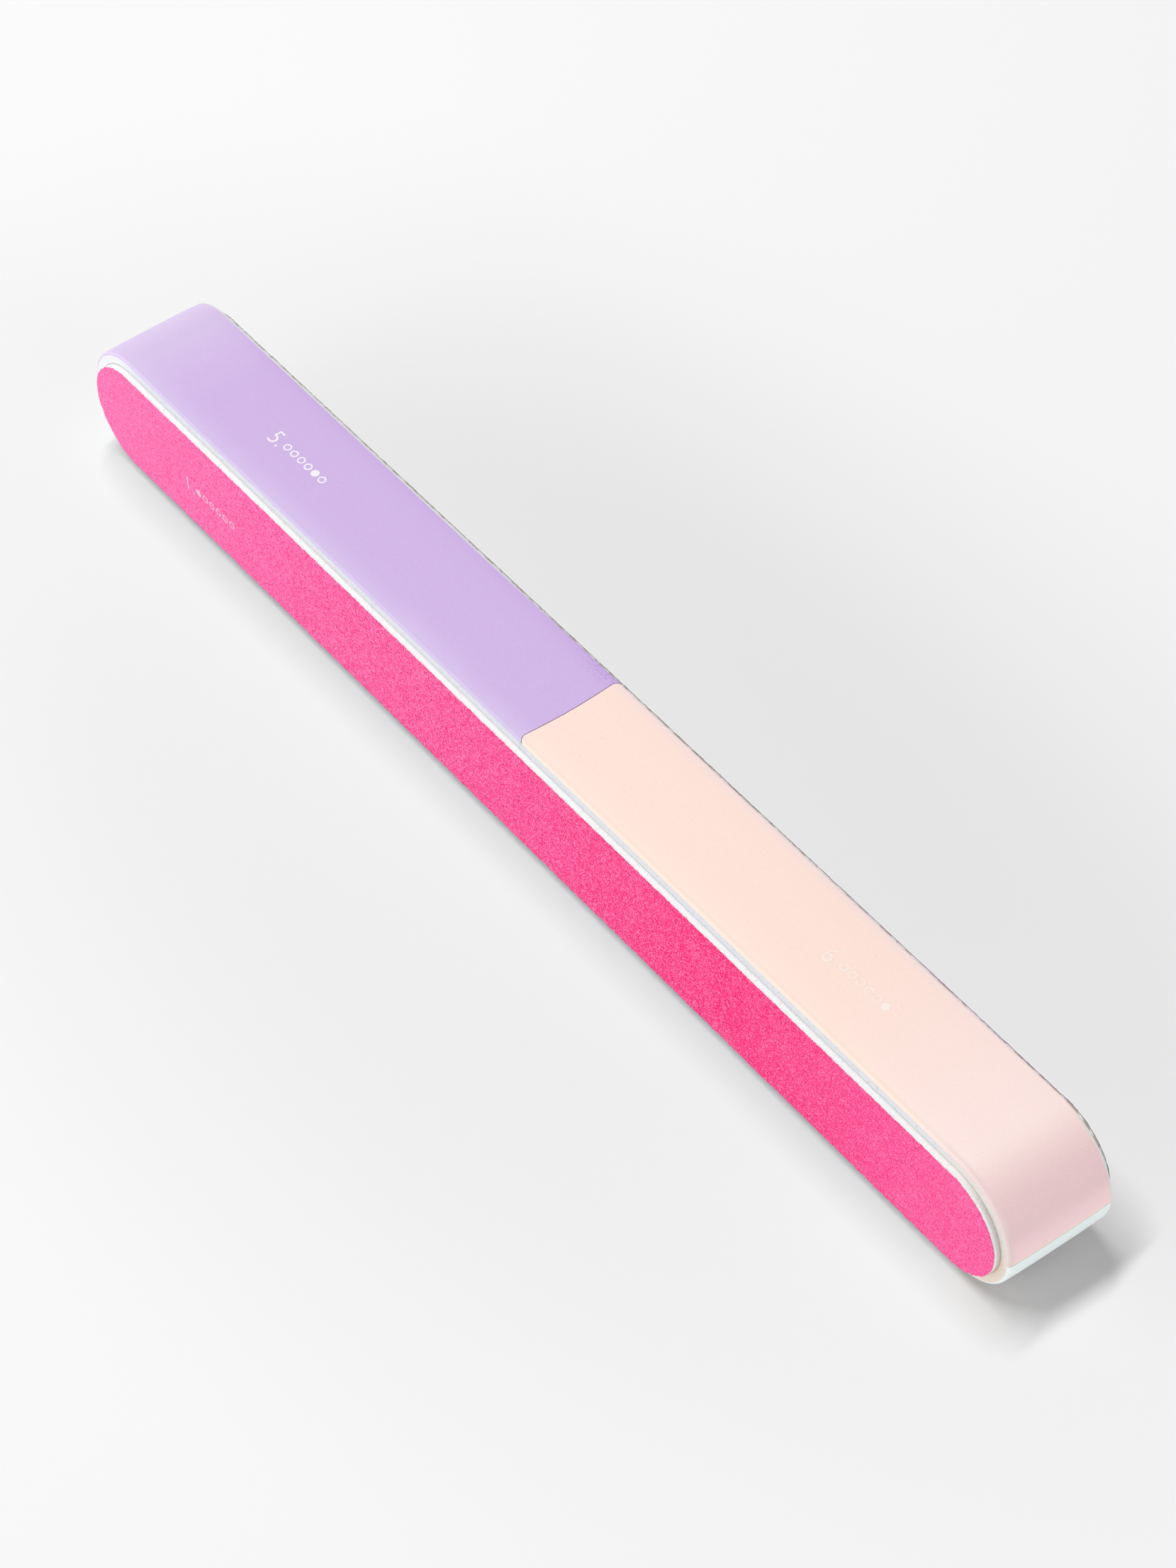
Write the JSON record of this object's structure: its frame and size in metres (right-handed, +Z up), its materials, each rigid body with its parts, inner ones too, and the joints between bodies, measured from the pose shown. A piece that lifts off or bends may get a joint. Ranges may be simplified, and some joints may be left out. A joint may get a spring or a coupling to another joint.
{
  "type": "nail buffer block",
  "caption": "Slim round-ended foam bar with abrasive sheets on its flat sides and film-covered foam strips wrapped round its edge, for filing, buffing and shining nails.",
  "frame": {"origin": "middle of the length and width of the block, on the surface that it lies on", "axes": "+X along the bar towards the end with the shine film on top, +Y from the pink front sheet to the rear sheet, +Z up"},
  "size_m": [0.178, 0.0164, 0.0183],
  "materials": {
    "core_foam": "matte closed-cell foam",
    "sheet_adhesive": "dried contact adhesive",
    "pink_grit": "coarse abrasive paper",
    "magenta_grit": "coarse abrasive paper",
    "strip_tape": "clear double-sided tape",
    "backing_foam": "soft matte foam",
    "lavender_film": "fine satin buffing film",
    "peach_film": "very fine satin shining film",
    "blue_film": "fine satin smoothing film",
    "white_film": "fine satin ridge-removing film"
  },
  "bodies": {
    "root": {"foam_core": "core_foam", "front_sheet_adhesive": "sheet_adhesive", "front_abrasive_sheet": "pink_grit", "rear_sheet_adhesive": "sheet_adhesive", "rear_abrasive_sheet": "magenta_grit", "top_left_tape": "strip_tape", "top_left_foam_backing": "backing_foam", "top_left_buff_film": "lavender_film", "top_right_tape": "strip_tape", "top_right_foam_backing": "backing_foam", "top_right_shine_film": "peach_film", "bottom_left_tape": "strip_tape", "bottom_left_foam_backing": "backing_foam", "bottom_left_film": "blue_film", "bottom_right_tape": "strip_tape", "bottom_right_foam_backing": "backing_foam", "bottom_right_film": "white_film"}
  },
  "joints": []
}
